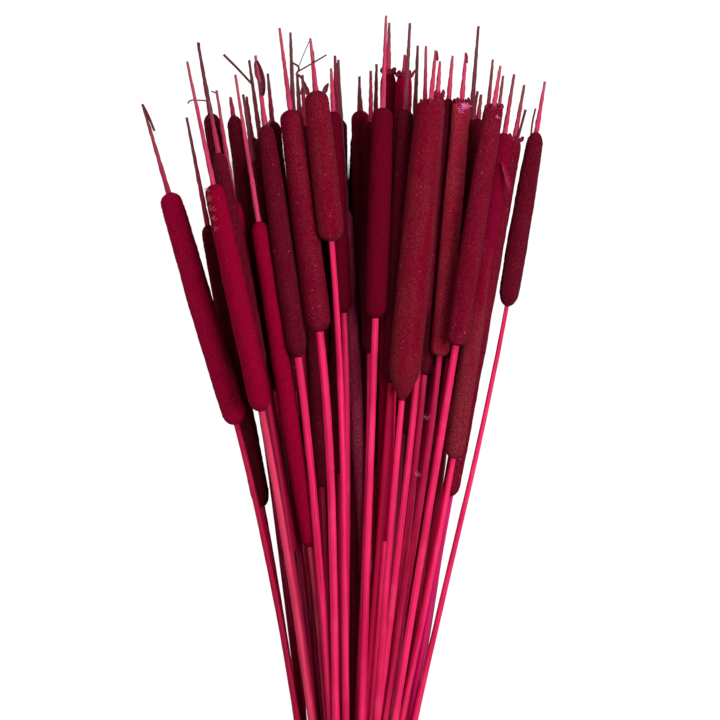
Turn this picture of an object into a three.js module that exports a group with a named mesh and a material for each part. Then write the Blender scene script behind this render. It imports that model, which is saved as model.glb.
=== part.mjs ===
// A tied bunch of dried cattails (bulrushes), lying on a table.
// Millimetres, +Z up. The tips point along +Y, and the stems' cut ends point along -Y.
import * as THREE from 'three';

// ---- Driving dimensions ----

const TIE_ROWS = [4, 6, 5, 9, 8, 8, 7, 5, 4]; // stems side by side in the tie, from the bottom row up
const CUT_LENGTH = 70; // from the tie to the cut ends
const CUT_UNEVENNESS = 12; // how far the cut ends differ
const FAN_START = 100; // how gently the stems leave the tie: a longer start bends them less

const STEM_BASE = 6; // a stem's thickness at the tie
const STEM_NECK = { slim: 4.2, full: 5.6 }; // and just under the head
const SPIKE_BASE = 4.0; // the bare spike on top of the head
const SPIKE_TIP = 2.4; // cut blunt
const SHOULDER = 5; // how far a head takes to reach nearly its full thickness
const FOOT_FULLNESS = 0.92; // and how much of its thickness it has there, at its foot
const CROWN_FULLNESS = 0.86; // and at its crown
const HEAD_BELLY = 0.4; // where a head is thickest, as part of its length
const CLEAR_STEM = 40; // of stem under a head, without a bend

const GAP = 0.4; // between pieces that touch
const TIE_ROOM = 0.35; // more room than that, from stem to stem in the tie
const BAND_WIDTH = 9;
const BAND_THICKNESS = 1.8;
const BAND_SEGMENTS = 32;

const BEND_LATENESS = 6; // a higher power keeps the bend closer to the head

const SIDES = 7; // of a stem's or a head's section
const STEM_STATIONS = [0, 80, 170, 270, 380]; // bends in a stem, from the tie
const SETTLING_STEP = 5; // how finely the pile is worked out along its length

// ---- The bunch ----

// The rows that show, from the fourth up. Each goes from left to right.
// Only the spikes and stems of the first of them are seen.
// foot: where the head begins, across the bunch and up from the tie.
// lean: the head's angle to the right of the bunch's own line, in degrees.
const UPPER_ROWS = [
  [
    { foot: [-60, 412], lean: -8, head: 180, spike: 24, thick: 13.5 },
    { foot: [-42, 412], lean: -8, head: 190, spike: 59, thick: 13.5 },
    { foot: [-23, 340], lean: -2.6, head: 270, spike: 38, thick: 14.5 },
    { foot: [-9, 350], lean: -0.2, head: 265, spike: 44, thick: 14.5 },
    { foot: [13, 350], lean: 1, head: 262, spike: 44, thick: 13 },
    { foot: [37, 380], lean: 2.4, head: 230, spike: 60, thick: 13.5 },
    { foot: [51, 430], lean: 1, head: 180, spike: 59, thick: 13.5 },
    { foot: [72, 400], lean: 4.5, head: 215, spike: 70, thick: 13 },
    { foot: [80, 400], lean: 5.5, head: 200, spike: 60, thick: 13 },
  ],
  [
    { foot: [-76, 450], lean: -10, head: 172, spike: 54, thick: 14.5 },
    { foot: [-54, 412], lean: -9.5, head: 208, spike: 14, thick: 15.5 },
    { foot: [-48, 425], lean: -9, head: 160, spike: 50, thick: 13.5 },
    { foot: [-38, 455], lean: -2, head: 160, spike: 64, thick: 13.5 },
    { foot: [12, 457], lean: -2, head: 164, spike: 20, thick: 16 },
    { foot: [24, 470], lean: 1, head: 180, spike: 36, thick: 13 },
    { foot: [33, 480], lean: 2, head: 168, spike: 14, thick: 13.5 },
    { foot: [72, 436], lean: 7, head: 180, spike: 18, thick: 13 },
  ],
  [
    { foot: [-67, 325], lean: -11, head: 215, spike: 82, thick: 14.5 },
    { foot: [-46, 290], lean: -9, head: 266, spike: 84, thick: 13.5 },
    { foot: [-31, 296], lean: -9, head: 245, spike: 110, thick: 14 },
    { foot: [10, 272], lean: -3, head: 276, spike: 111, thick: 10.5 },
    { foot: [24, 300], lean: 1, head: 226, spike: 70, thick: 11.5 },
    { foot: [54, 424], lean: 5, head: 206, spike: 32, thick: 13 },
    { foot: [73, 334], lean: 10.2, head: 270, spike: 40, thick: 13.5 },
    { foot: [86, 440], lean: 7.3, head: 158, spike: 50, thick: 12.5 },
  ],
  [
    { foot: [-86, 387], lean: -16.4, head: 180, spike: 69, thick: 19 },
    { foot: [-68, 430], lean: -11, head: 162, spike: 40, thick: 12.5 },
    { foot: [-6, 470], lean: -3, head: 150, spike: 32, thick: 13 },
    { foot: [14, 440], lean: 0, head: 172, spike: 38, thick: 13.5 },
    { foot: [52, 466], lean: 4, head: 167, spike: 24, thick: 13.5 },
    { foot: [75, 362], lean: 9, head: 244, spike: 44, thick: 15 },
    { foot: [115, 475], lean: 9.6, head: 131, spike: 38, thick: 15.5, neck: 3.2 },
  ],
  [
    { foot: [-67, 397], lean: -12, head: 172, spike: 93, thick: 17 },
    { foot: [-40, 437], lean: -8, head: 174, spike: 52, thick: 16 },
    { foot: [29, 418], lean: 3, head: 203, spike: 64, thick: 15 },
    { foot: [65, 438], lean: 5, head: 190, spike: 36, thick: 15 },
    { foot: [77, 446], lean: 9, head: 178, spike: 31, thick: 16.5 },
  ],
  [
    { foot: [-24, 456], lean: -7.5, head: 166, spike: 61, thick: 19.5, neck: 6 },
    { foot: [-15, 523], lean: -6, head: 112, spike: 39, thick: 20 },
    { foot: [17.5, 466], lean: 2, head: 156, spike: 68, thick: 17.5 },
    { foot: [37, 405], lean: 5.5, head: 224, spike: 36, thick: 24.5 },
  ],
];

// The rows underneath are spread evenly, and only their tips show.
const UNDER_FAN = { left: -8, right: 10.5 }; // degrees
const UNDER_FOOT = { low: 310, high: 430, uneven: 20 }; // from the bottom row up, and within a row
const UNDER_CROWN = { low: 600, high: 624 }; // where their heads end
const UNDER_DROP = 0.3; // and how much lower they end as they lean, for each square degree
const UNDER_SPIKE = { short: 26, long: 56 };
const UNDER_THICK = { slim: 12, full: 14.5 };
const UNDER_SLOTS = 14; // how far to each side of the tie's middle they start

// An even scatter between 0 and 1: the steps of a golden section never bunch up.
const scatter = (index, strand) => (index * 0.618034 + strand * 0.381966) % 1;
const between = (low, high, part) => low + (high - low) * part;

// How far a stem has fanned out by the time it is y past the tie. It starts off straight.
const fanned = (y) => (y > 0 ? (y * y) / (y + FAN_START) : 0);
const fannedSlope = (y) => (y > 0 ? (y * (y + 2 * FAN_START)) / (y + FAN_START) ** 2 : 0);
const slope = (degrees) => Math.tan(THREE.MathUtils.degToRad(degrees));

function underRow(row, count, firstIndex) {
  return Array.from({ length: count }, (_, place) => {
    const index = firstIndex + place;
    const across = (place + 0.25 + 0.5 * scatter(index, row)) / count;
    const lean = between(UNDER_FAN.left, UNDER_FAN.right, across);
    const start = between(UNDER_FOOT.low, UNDER_FOOT.high, row / 2) + UNDER_FOOT.uneven * scatter(index, 1);
    const crown = between(UNDER_CROWN.low, UNDER_CROWN.high, scatter(index, 2)) - UNDER_DROP * lean ** 2;
    const slotX = between(-UNDER_SLOTS, UNDER_SLOTS, across);
    return {
      foot: [slotX + slope(lean) * fanned(start), start],
      lean,
      head: crown - start,
      spike: between(UNDER_SPIKE.short, UNDER_SPIKE.long, scatter(index, 3)),
      thick: between(UNDER_THICK.slim, UNDER_THICK.full, scatter(index, 4)),
    };
  });
}

function plantRows() {
  const underCounts = TIE_ROWS.slice(0, TIE_ROWS.length - UPPER_ROWS.length);
  let planted = 0;
  const under = underCounts.map((count, row) => {
    planted += count;
    return underRow(row, count, planted - count);
  });
  return [...under, ...UPPER_ROWS];
}

// ---- The tie ----

const PITCH = STEM_BASE + GAP + TIE_ROOM;
const rowRise = (row) => (row - (TIE_ROWS.length - 1) / 2) * PITCH;
const bundleRadius =
  Math.max(...TIE_ROWS.map((count, row) => Math.hypot(((count - 1) / 2) * PITCH, rowRise(row)))) +
  STEM_BASE / 2;
const bandInner = bundleRadius + GAP;
const bandOuter = bandInner + BAND_THICKNESS;

// ---- One cattail: its route and its thickness ----

// The stations of a cattail along its length, each with its radius.
function stationsOf(plant, index) {
  const start = plant.foot[1];
  const cos = Math.cos(THREE.MathUtils.degToRad(plant.lean));
  const crown = start + plant.head * cos;
  const tip = crown + plant.spike * cos;
  const radius = plant.thick / 2;
  const cut = -(CUT_LENGTH + CUT_UNEVENNESS * scatter(index, 5));
  const neck = plant.neck ?? between(STEM_NECK.slim, STEM_NECK.full, scatter(index, 6));
  const stemRadius = (y) => between(STEM_BASE, neck, Math.max(0, y) / start) / 2;
  const stem = [cut, ...STEM_STATIONS.filter((y) => y < start - CLEAR_STEM)];
  return [
    ...stem.map((y) => ({ y, radius: stemRadius(y) })),
    { y: start, radius: neck / 2 },
    { y: start + SHOULDER, radius: radius * FOOT_FULLNESS },
    { y: between(start, crown, HEAD_BELLY), radius },
    { y: crown - SHOULDER, radius: radius * CROWN_FULLNESS },
    { y: crown, radius: SPIKE_BASE / 2 },
    { y: between(crown, tip, 0.5), radius: (SPIKE_BASE + SPIKE_TIP) / 4 },
    { y: tip, radius: SPIKE_TIP / 2 },
  ];
}

// The slope that takes a stem straight from the tie's middle to its head's foot.
const meanSlope = (plant, slotX = 0) => (plant.foot[0] - slotX) / fanned(plant.foot[1]);

// Across the bunch, a stem leaves its slot in the tie nearly straight, and bends only on its way
// into the head, to meet it along the head's own line. From the foot on it is straight.
function acrossOf(plant, slotX) {
  const [footX, footY] = plant.foot;
  const reach = fanned(footY);
  const mean = meanSlope(plant, slotX);
  const turn = slope(plant.lean) / fannedSlope(footY) - mean;
  return (y) => {
    if (y > footY) return footX + slope(plant.lean) * (y - footY);
    const part = fanned(y) / reach;
    const bend = (turn * reach * (part ** BEND_LATENESS - part)) / (BEND_LATENESS - 1);
    return slotX + mean * reach * part + bend;
  };
}

// A value on the straight lines between a cattail's stations.
function sample(cattail, y) {
  const { stations } = cattail;
  if (y < stations[0].y || y > stations[stations.length - 1].y) return null;
  let next = 1;
  while (stations[next].y < y) next += 1;
  const a = stations[next - 1];
  const b = stations[next];
  const part = (y - a.y) / (b.y - a.y);
  return {
    x: between(a.x, b.x, part),
    out: between(a.out, b.out, part),
    radius: between(a.radius, b.radius, part),
    stretch: Math.hypot(1, (b.x - a.x) / (b.y - a.y)), // of its section across the bunch
  };
}

// ---- Settling: each cattail pivots in the tie and sinks until it lies on what is below ----

function settle(cattail, placed) {
  const { slotZ, stations } = cattail;
  let rise = -Infinity;
  for (let y = SETTLING_STEP; y < stations[stations.length - 1].y; y += SETTLING_STEP) {
    const here = sample(cattail, y);
    rise = Math.max(rise, (here.radius - slotZ) / here.out);
    for (const other of placed) {
      const there = sample(other, y);
      if (!there) continue;
      const reach =
        (here.radius + there.radius + GAP) * Math.max(here.stretch, there.stretch);
      const apart = Math.abs(here.x - there.x);
      if (apart >= reach) continue;
      const height = other.slotZ + other.rise * there.out + Math.sqrt(reach ** 2 - apart ** 2);
      rise = Math.max(rise, (height - slotZ) / here.out);
    }
  }
  return rise;
}

function arrange() {
  const cattails = [];
  plantRows().forEach((row, level) => {
    const leftToRight = [...row].sort((a, b) => meanSlope(a) - meanSlope(b));
    leftToRight.forEach((plant, place) => {
      const slotX = (place - (row.length - 1) / 2) * PITCH;
      const across = acrossOf(plant, slotX);
      const stations = stationsOf(plant, cattails.length).map((station) => ({
        ...station,
        x: across(station.y),
        out: fanned(station.y),
      }));
      const cattail = { plant, level, slotZ: bandOuter + rowRise(level), stations };
      cattail.rise = settle(cattail, cattails);
      cattails.push(cattail);
    });
  });
  return cattails;
}

// ---- Solids ----

// A closed skin over rings of equal size, with a fan of triangles over each end.
function ringSkin(rings) {
  const count = rings[0].length;
  const triangles = [];
  for (let ring = 0; ring < rings.length - 1; ring += 1) {
    for (let side = 0; side < count; side += 1) {
      const a = ring * count + side;
      const b = ring * count + ((side + 1) % count);
      triangles.push(a, b, b + count, a, b + count, a + count);
    }
  }
  const last = (rings.length - 1) * count;
  for (let side = 1; side < count - 1; side += 1) {
    triangles.push(0, side + 1, side);
    triangles.push(last, last + side, last + side + 1);
  }
  const geometry = new THREE.BufferGeometry();
  const points = rings.flat().flatMap((point) => [point.x, point.y, point.z]);
  geometry.setAttribute('position', new THREE.Float32BufferAttribute(points, 3));
  geometry.setIndex(triangles);
  geometry.computeVertexNormals();
  return geometry;
}

function cattailGeometry(cattail) {
  const centres = cattail.stations.map(
    ({ x, y, out }) => new THREE.Vector3(x, y, cattail.slotZ + cattail.rise * out),
  );
  const rings = centres.map((centre, index) => {
    const before = centres[Math.max(0, index - 1)];
    const after = centres[Math.min(centres.length - 1, index + 1)];
    const along = after.clone().sub(before).normalize();
    const side = new THREE.Vector3(0, 0, 1).cross(along).normalize();
    const up = along.clone().cross(side);
    const { radius } = cattail.stations[index];
    return Array.from({ length: SIDES }, (_, corner) => {
      const turn = (corner / SIDES) * Math.PI * 2;
      return centre
        .clone()
        .addScaledVector(up, -radius * Math.cos(turn))
        .addScaledVector(side, radius * Math.sin(turn));
    });
  });
  return ringSkin(rings);
}

function bandGeometry() {
  const half = BAND_WIDTH / 2;
  const profile = [
    [bandInner, -half],
    [bandOuter, -half],
    [bandOuter, half],
    [bandInner, half],
    [bandInner, -half],
  ].map(([radius, along]) => new THREE.Vector2(radius, along));
  return new THREE.LatheGeometry(profile, BAND_SEGMENTS);
}

// The heads underneath are nearly black, and those on top are burgundy.
const DEEPEST_RED = new THREE.Color(0x2a0410);
const TOP_RED = new THREE.Color(0x5e1020);
const headRed = (level) => DEEPEST_RED.clone().lerp(TOP_RED, level / (TIE_ROWS.length - 1));

const bunch = new THREE.Group();
const cattails = arrange();
cattails.forEach((cattail, index) => {
  const material = new THREE.MeshStandardMaterial({
    color: headRed(cattail.level),
    roughness: 0.85,
    metalness: 0,
  });
  const mesh = new THREE.Mesh(cattailGeometry(cattail), material);
  mesh.name = `cattail_${String(index + 1).padStart(2, '0')}`;
  bunch.add(mesh);
});

const band = new THREE.Mesh(
  bandGeometry(),
  new THREE.MeshStandardMaterial({ color: 0xc9a878, roughness: 0.6, metalness: 0 }),
);
band.name = 'rubber_band';
band.position.set(0, 0, bandOuter);
bunch.add(band);

// The origin is under the middle of the bunch.
bunch.updateMatrixWorld(true);
const box = new THREE.Box3().setFromObject(bunch, true);
const middle = box.getCenter(new THREE.Vector3());
bunch.position.set(-middle.x, -middle.y, -box.min.z);

export default bunch;
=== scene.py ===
"""Looks for a tied bunch of dyed, dried cattails that lies on a pale table.

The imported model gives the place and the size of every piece. A straight cattail is modelled once, copied for
each node, sized, roughened and bent along that node, and then dressed in its finishes. Lengths are in metres.
"""

from __future__ import annotations

import logging
import math
import random
from dataclasses import dataclass
from enum import Enum
from typing import Any, Callable, Iterable, Sequence

import bpy
import numpy as np
from bpy.types import ID, Material, Mesh, NodeSocket, Object, Texture
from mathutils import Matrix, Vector

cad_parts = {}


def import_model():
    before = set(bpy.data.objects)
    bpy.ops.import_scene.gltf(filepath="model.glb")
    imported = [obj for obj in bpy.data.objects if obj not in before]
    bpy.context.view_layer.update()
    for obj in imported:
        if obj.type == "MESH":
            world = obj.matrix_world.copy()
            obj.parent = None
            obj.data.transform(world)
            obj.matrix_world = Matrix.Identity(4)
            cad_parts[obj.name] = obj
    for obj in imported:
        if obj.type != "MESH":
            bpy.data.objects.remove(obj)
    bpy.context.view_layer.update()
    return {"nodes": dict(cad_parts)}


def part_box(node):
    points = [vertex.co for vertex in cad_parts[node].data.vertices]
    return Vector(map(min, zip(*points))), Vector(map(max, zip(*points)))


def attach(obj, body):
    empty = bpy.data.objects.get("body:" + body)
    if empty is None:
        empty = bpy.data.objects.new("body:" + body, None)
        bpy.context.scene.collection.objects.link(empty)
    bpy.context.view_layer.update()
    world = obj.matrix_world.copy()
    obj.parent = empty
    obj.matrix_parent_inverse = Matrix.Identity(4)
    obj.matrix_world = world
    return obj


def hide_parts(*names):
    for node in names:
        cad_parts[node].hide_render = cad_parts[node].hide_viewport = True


LOG = logging.getLogger("cattails")
MM = 0.001
BODY = "root"
RGB = tuple[float, float, float]


# ---- shader tools


class Sock:
    """A shader value that can be used in arithmetic."""

    def __init__(self, graph: "Graph", out: NodeSocket) -> None:
        """Wraps an output socket of a graph."""
        self.graph = graph
        self.out = out

    def _maths(self, operation: str, *values: Any) -> "Sock":
        """Adds a Math node and returns its value."""
        links = dict(enumerate(values))
        return self.graph.node("ShaderNodeMath", {"operation": operation}, links)

    def __add__(self, other: Any) -> "Sock":
        """Sum of the two."""
        return self._maths("ADD", self, other)

    __radd__ = __add__

    def __sub__(self, other: Any) -> "Sock":
        """This less the other."""
        return self._maths("SUBTRACT", self, other)

    def __rsub__(self, other: Any) -> "Sock":
        """The other less this."""
        return self._maths("SUBTRACT", other, self)

    def __mul__(self, other: Any) -> "Sock":
        """Product of the two."""
        return self._maths("MULTIPLY", self, other)

    __rmul__ = __mul__

    def __truediv__(self, other: Any) -> "Sock":
        """This over the other."""
        return self._maths("DIVIDE", self, other)

    def held(self) -> "Sock":
        """This, held between 0 and 1."""
        return self.graph.node("ShaderNodeClamp", {}, {"Value": self})

    def above(self, low: float, high: float) -> "Sock":
        """A mask that is 0 up to low and 1 from high on."""
        return ((self - low) * (1.0 / (high - low))).held()


class Graph:
    """A material's node tree, built by expressions."""

    def __init__(self, name: str) -> None:
        """Starts an empty material."""
        self.material = bpy.data.materials.new(name)
        self.material.use_nodes = True
        self.tree = self.material.node_tree
        self.tree.nodes.clear()

    def node(self, kind: str, settings: dict[str, Any], inputs: dict[Any, Any], out: Any = 0) -> Sock:
        """Adds a node.

        Args:
            kind: the node's type.
            settings: its own properties.
            inputs: a value or a Sock for each input, by name or place.
            out: the name or place of the output that is wanted.

        Returns:
            The wanted output.
        """
        made = self.tree.nodes.new(kind)
        for key, value in settings.items():
            setattr(made, key, value)
        for key, value in inputs.items():
            if isinstance(value, Sock):
                self.tree.links.new(value.out, made.inputs[key])
            else:
                made.inputs[key].default_value = value
        return Sock(self, made.outputs[out])

    def mix(self, low: Any, high: Any, part: Any) -> Sock:
        """A colour between two, by a part from 0 to 1."""
        ends = {6: self._rgba(low), 7: self._rgba(high), 0: part}
        return self.node("ShaderNodeMix", {"data_type": "RGBA"}, ends, out=2)

    @staticmethod
    def _rgba(colour: Any) -> Any:
        """A colour as a socket takes it."""
        return colour if isinstance(colour, Sock) else (*colour, 1.0)

    def attribute(self, name: str, out: str) -> Sock:
        """A value that the mesh carries."""
        return self.node("ShaderNodeAttribute", {"attribute_name": name}, {}, out)

    def noise(self, place: Sock, scale: float, detail: float = 2.0, rough: float = 0.5,
              along: float = 1.0) -> Sock:
        """Soft noise from 0 to 1.

        Args:
            place: what it is spread over.
            scale: how fine it is.
            detail: how many finer layers it has.
            rough: how strong they are.
            along: less than 1 draws it out along the plant.

        Returns:
            The noise.
        """
        if along < 1.0:
            place = self.node("ShaderNodeMapping", {}, {"Vector": place, "Scale": (1.0, 1.0, along)})
        sizes = {"Vector": place, "Scale": scale, "Detail": detail, "Roughness": rough}
        return self.node("ShaderNodeTexNoise", {}, sizes, "Fac")

    def bump(self, height: Sock, strength: float, distance: float) -> Sock:
        """A surface normal from a height."""
        sizes = {"Height": height, "Strength": strength, "Distance": distance}
        return self.node("ShaderNodeBump", {}, sizes)

    def finish(self, colour: Any, roughness: Any, normal: Sock | None, **constants: Any) -> Material:
        """Closes the material.

        Args:
            colour: its base colour.
            roughness: its roughness.
            normal: its surface normal.
            constants: other inputs of the shader by name, with _ for a space.

        Returns:
            The material.
        """
        inputs = {"Base Color": self._rgba(colour), "Roughness": roughness}
        if normal is not None:
            inputs["Normal"] = normal
        for key, value in constants.items():
            inputs[key.replace("_", " ")] = value
        shader = self.node("ShaderNodeBsdfPrincipled", {}, inputs)
        output = self.tree.nodes.new("ShaderNodeOutputMaterial")
        self.tree.links.new(shader.out, output.inputs["Surface"])
        return self.material


# ---- finishes

GROWN = "grown"  # where a point was on the straight cattail, with an offset of its own for each plant
RISE = "rise"  # 0 at the cut end, 1 at the head's foot, 2 at its crown and 3 at the tip
HEAD_START = 1.0
SPIKE_START = 2.0
FLECK = (0.27, 0.034, 0.044)
PALE_SPECK = (0.40, 0.11, 0.13)
SHEEN = (0.60, 0.12, 0.14, 1.0)
SCUFF = (0.10, 0.006, 0.02)


@dataclass(frozen=True)
class Velvet:
    """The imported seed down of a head, dyed and dusty. A higher scale makes a pattern finer."""

    name: str
    dyed: RGB
    dusty: RGB
    shaded: RGB
    dust: float = 0.5
    foot_dust: float = 0.0
    sheen: float = 0.06
    grain_scale: float = 1150.0
    tuft_scale: float = 420.0
    brushed_scale: float = 230.0
    cloud_scale: float = 95.0
    streak_scale: float = 120.0
    speck_scale: float = 1500.0
    dot_scale: float = 640.0
    relief_depth: float = 0.8 * MM

    def material(self) -> Material:
        """Builds the velvet."""
        graph = Graph(self.name)
        place = graph.attribute(GROWN, "Vector")
        rise = graph.attribute(RISE, "Fac") - HEAD_START
        grain = graph.noise(place, self.grain_scale, 3.0, 0.62)
        tufts = graph.noise(place, self.tuft_scale)
        brushed = graph.noise(place, self.brushed_scale, 3.0, along=0.12)
        clouds = graph.noise(place, self.cloud_scale, along=0.35)
        streaks = graph.noise(place, self.streak_scale, along=0.03)
        specks = graph.noise(place, self.speck_scale, 1.0)
        dots = graph.noise(place, self.dot_scale, 0.0)
        dusting = clouds * 0.35 + brushed * 0.25 + streaks * 0.4
        dusting = dusting + (1.0 - rise).above(0.35, 0.75) * (0.3 * self.foot_dust)
        worn = dusting.above(0.60 - 0.3 * self.dust, 0.78 - 0.22 * self.dust)
        # Painted shade: the low grain and tufts take the shaded colour, and the raised ones keep the dye.
        dyed = graph.mix(self.shaded, self.dyed, (tufts * 0.4 + grain * 0.9).above(0.42, 0.80))
        dusted = graph.mix(dyed, self.dusty, (worn * grain.above(0.42, 0.60)).held())
        bits = specks.above(0.60, 0.70) * (0.06 + 0.50 * self.dust)
        flecked = graph.mix(graph.mix(dusted, FLECK, bits), PALE_SPECK, dots.above(0.81, 0.86) * self.dust)
        relief = grain * 0.6 + tufts * 0.9 + brushed * 0.35
        normal = graph.bump(relief, 1.0, self.relief_depth)
        return graph.finish(flecked, 0.95, normal, Sheen_Weight=self.sheen, Sheen_Roughness=0.5,
                            Sheen_Tint=SHEEN, Specular_IOR_Level=0.02)


@dataclass(frozen=True)
class StemSkin:
    """The smooth, ribbed skin of a dyed stem."""

    name: str
    # bright is the skin painted as lit, and deep is the same skin painted as in shade.
    bright: RGB
    deep: RGB
    faded: RGB
    rib_scale: float = 950.0
    band_scale: float = 260.0
    mottle_scale: float = 42.0
    scuff_scale: float = 520.0
    relief_depth: float = 0.5 * MM

    def material(self) -> Material:
        """Builds the skin."""
        graph = Graph(self.name)
        place = graph.attribute(GROWN, "Vector")
        ribs = graph.noise(place, self.rib_scale, along=0.012)
        bands = graph.noise(place, self.band_scale, along=0.05)
        mottle = graph.noise(place, self.mottle_scale, 3.0)
        scuffs = graph.noise(place, self.scuff_scale, 3.0, 0.7, along=0.22)
        # Painted light and shade: the raised ribs and bands, with some mottling, take the bright colour, and
        # the grooves take the deep one.
        lit = (bands * 0.55 + ribs * 0.45 + mottle * 0.25).above(0.42, 0.78)
        skin = graph.mix(self.deep, self.bright, lit)
        faded = graph.mix(skin, self.faded, mottle.above(0.60, 0.76) * 0.45)
        marked = graph.mix(faded, SCUFF, scuffs.above(0.70, 0.78) * 0.7)
        normal = graph.bump(ribs * 0.7 + bands * 0.5 + scuffs * 0.12, 0.5, self.relief_depth)
        return graph.finish(marked, 0.42 + ribs * 0.2, normal, Specular_IOR_Level=0.10)


@dataclass(frozen=True)
class SpikeSkin:
    """The bare spike over a head: pink where it leaves the head, and brown at its tip."""

    name: str
    # bright is the skin painted as lit, and deep is the same skin painted as in shade.
    bright: RGB
    deep: RGB
    brown: RGB
    browning: float = 0.5
    pit_scale: float = 1300.0
    rib_scale: float = 800.0
    patch_scale: float = 120.0
    relief_depth: float = 0.5 * MM

    def material(self) -> Material:
        """Builds the skin."""
        graph = Graph(self.name)
        place = graph.attribute(GROWN, "Vector")
        rise = graph.attribute(RISE, "Fac") - SPIKE_START
        pits = graph.noise(place, self.pit_scale, 2.0, 0.6)
        ribs = graph.noise(place, self.rib_scale, along=0.05)
        patch = graph.noise(place, self.patch_scale)
        # Painted light and shade: the raised ribs and bumps take the bright colour, and the pits take the deep
        # one.
        skin = graph.mix(self.deep, self.bright, (ribs * 0.7 + pits * 0.3).above(0.30, 0.66))
        ripe = (rise + patch * 0.8 + pits * 0.25).above(1.45 - self.browning, 1.95 - self.browning)
        normal = graph.bump(pits * 0.8 + ribs * 0.5, 0.8, self.relief_depth)
        return graph.finish(graph.mix(skin, self.brown, ripe), 0.6 + pits * 0.2, normal,
                            Specular_IOR_Level=0.18)


@dataclass(frozen=True)
class Fray:
    """Torn skin, dry leaf and lint."""

    name: str
    colour: RGB
    other: RGB

    def material(self) -> Material:
        """Builds the torn stuff."""
        graph = Graph(self.name)
        place = graph.node("ShaderNodeTexCoord", {}, {}, "Object")
        blotch = graph.noise(place, 900.0)
        colour = graph.mix(self.colour, self.other, blotch.above(0.42, 0.60))
        return graph.finish(colour, 0.7, graph.bump(blotch, 0.5, 0.4 * MM), Specular_IOR_Level=0.2)


@dataclass(frozen=True)
class Pith:
    """The pale cut end of a stem, stained by the dye from its rim."""

    name: str = "stem_pith"
    pale: RGB = (0.62, 0.33, 0.27)
    stained: RGB = (0.50, 0.04, 0.10)

    def material(self) -> Material:
        """Builds the pith."""
        graph = Graph(self.name)
        place = graph.attribute(GROWN, "Vector")
        cells = graph.noise(place, 2600.0)
        stain = graph.noise(place, 700.0)
        colour = graph.mix(self.pale, self.stained, (stain * 0.8 + cells * 0.3).above(0.35, 0.75))
        return graph.finish(colour, 0.9, graph.bump(cells, 0.8, 0.4 * MM))


@dataclass(frozen=True)
class BandRubber:
    """Plain natural rubber with the dry bloom that it gets with age."""

    name: str = "band_rubber"
    fresh: RGB = (0.52, 0.33, 0.15)
    bloom: RGB = (0.66, 0.50, 0.32)

    def material(self) -> Material:
        """Builds the rubber."""
        graph = Graph(self.name)
        place = graph.node("ShaderNodeTexCoord", {}, {}, "Object")
        bloom = graph.noise(place, 260.0, 3.0, 0.6)
        grain = graph.noise(place, 2400.0, 1.0)
        colour = graph.mix(self.fresh, self.bloom, bloom.above(0.40, 0.68))
        return graph.finish(colour, 0.50 + bloom * 0.25, graph.bump(grain + bloom, 0.25, 0.3 * MM))


@dataclass(frozen=True)
class LightTable:
    """The white, softly lit surface that the bunch lies on, and the deep shade right under the fan.

    The shade's sides are slopes from the tie, and its length is from the tie too.
    """

    tie_place: tuple[float, float]
    name: str = "light_table"
    colour: RGB = (0.04, 0.04, 0.04)
    shaded: RGB = (0.010, 0.001, 0.002)
    white: RGB = (1.0, 1.0, 1.0)
    glow: float = 1.0
    unevenness: float = 0.985
    left: float = -0.17
    right: float = 0.19
    length: float = 590 * MM
    softness: float = 0.02

    def material(self) -> Material:
        """Builds the surface."""
        graph = Graph(self.name)
        place = graph.node("ShaderNodeTexCoord", {}, {}, "Object")
        tone = graph.noise(place, 6.0)
        other = tuple(channel * self.unevenness for channel in self.colour)
        shade = self._shade(graph, place)
        surface = graph.mix(graph.mix(self.colour, other, tone), self.shaded, shade)
        lit = graph.mix(self.white, self.shaded, shade)
        return graph.finish(surface, 0.85, None, Emission_Color=lit, Emission_Strength=self.glow)

    def _shade(self, graph: Graph, place: Sock) -> Sock:
        """A mask of what the fan of stems and heads covers."""
        across, along = (
            graph.node("ShaderNodeSeparateXYZ", {}, {"Vector": place}, axis) - start
            for axis, start in zip("XY", self.tie_place))
        slope = across / along
        in_left = slope.above(self.left, self.left + self.softness)
        past_right = slope.above(self.right - self.softness, self.right)
        past_tie = along.above(0.0, self.softness)
        past_end = along.above(self.length - self.softness, self.length)
        return in_left * (1.0 - past_right) * (past_tie * (1.0 - past_end))


class HeadTone(Enum):
    """The shades that the dye took on the heads."""

    RASPBERRY = Velvet("velvet_raspberry", (0.115, 0.0006, 0.011), (0.130, 0.003, 0.014),
                       (0.070, 0.0004, 0.007), dust=0.1, sheen=0.01)
    BURGUNDY = Velvet("velvet_burgundy", (0.150, 0.0010, 0.016), (0.175, 0.011, 0.022),
                      (0.060, 0.0006, 0.006), dust=0.6, sheen=0.03)
    RUBY = Velvet("velvet_ruby", (0.330, 0.0010, 0.034), (0.320, 0.007, 0.034), (0.160, 0.0007, 0.016),
                  dust=0.35, sheen=0.02)
    CRIMSON = Velvet("velvet_crimson", (0.235, 0.0003, 0.020), (0.230, 0.002, 0.022), (0.150, 0.0002, 0.012),
                     dust=0.15, sheen=0.005)
    BROWNISH = Velvet("velvet_brownish", (0.182, 0.0008, 0.016), (0.140, 0.019, 0.021),
                      (0.064, 0.0006, 0.006), dust=0.60, sheen=0.07)
    RUSSET = Velvet("velvet_russet", (0.450, 0.0040, 0.042), (0.450, 0.060, 0.070), (0.220, 0.0016, 0.020),
                    dust=0.75, sheen=0.08)
    TWO_TONED = Velvet("velvet_two_toned", (0.180, 0.0010, 0.019), (0.170, 0.026, 0.030),
                       (0.080, 0.0006, 0.008), dust=0.1, foot_dust=1.0, sheen=0.03)
    DARK = Velvet("velvet_dark", (0.105, 0.0020, 0.012), (0.110, 0.009, 0.017), (0.045, 0.0008, 0.006),
                  dust=0.5, sheen=0.05)
    PURPLE = Velvet("velvet_purple", (0.240, 0.006, 0.046), (0.280, 0.045, 0.075), (0.110, 0.003, 0.026),
                    dust=0.9)


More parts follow.
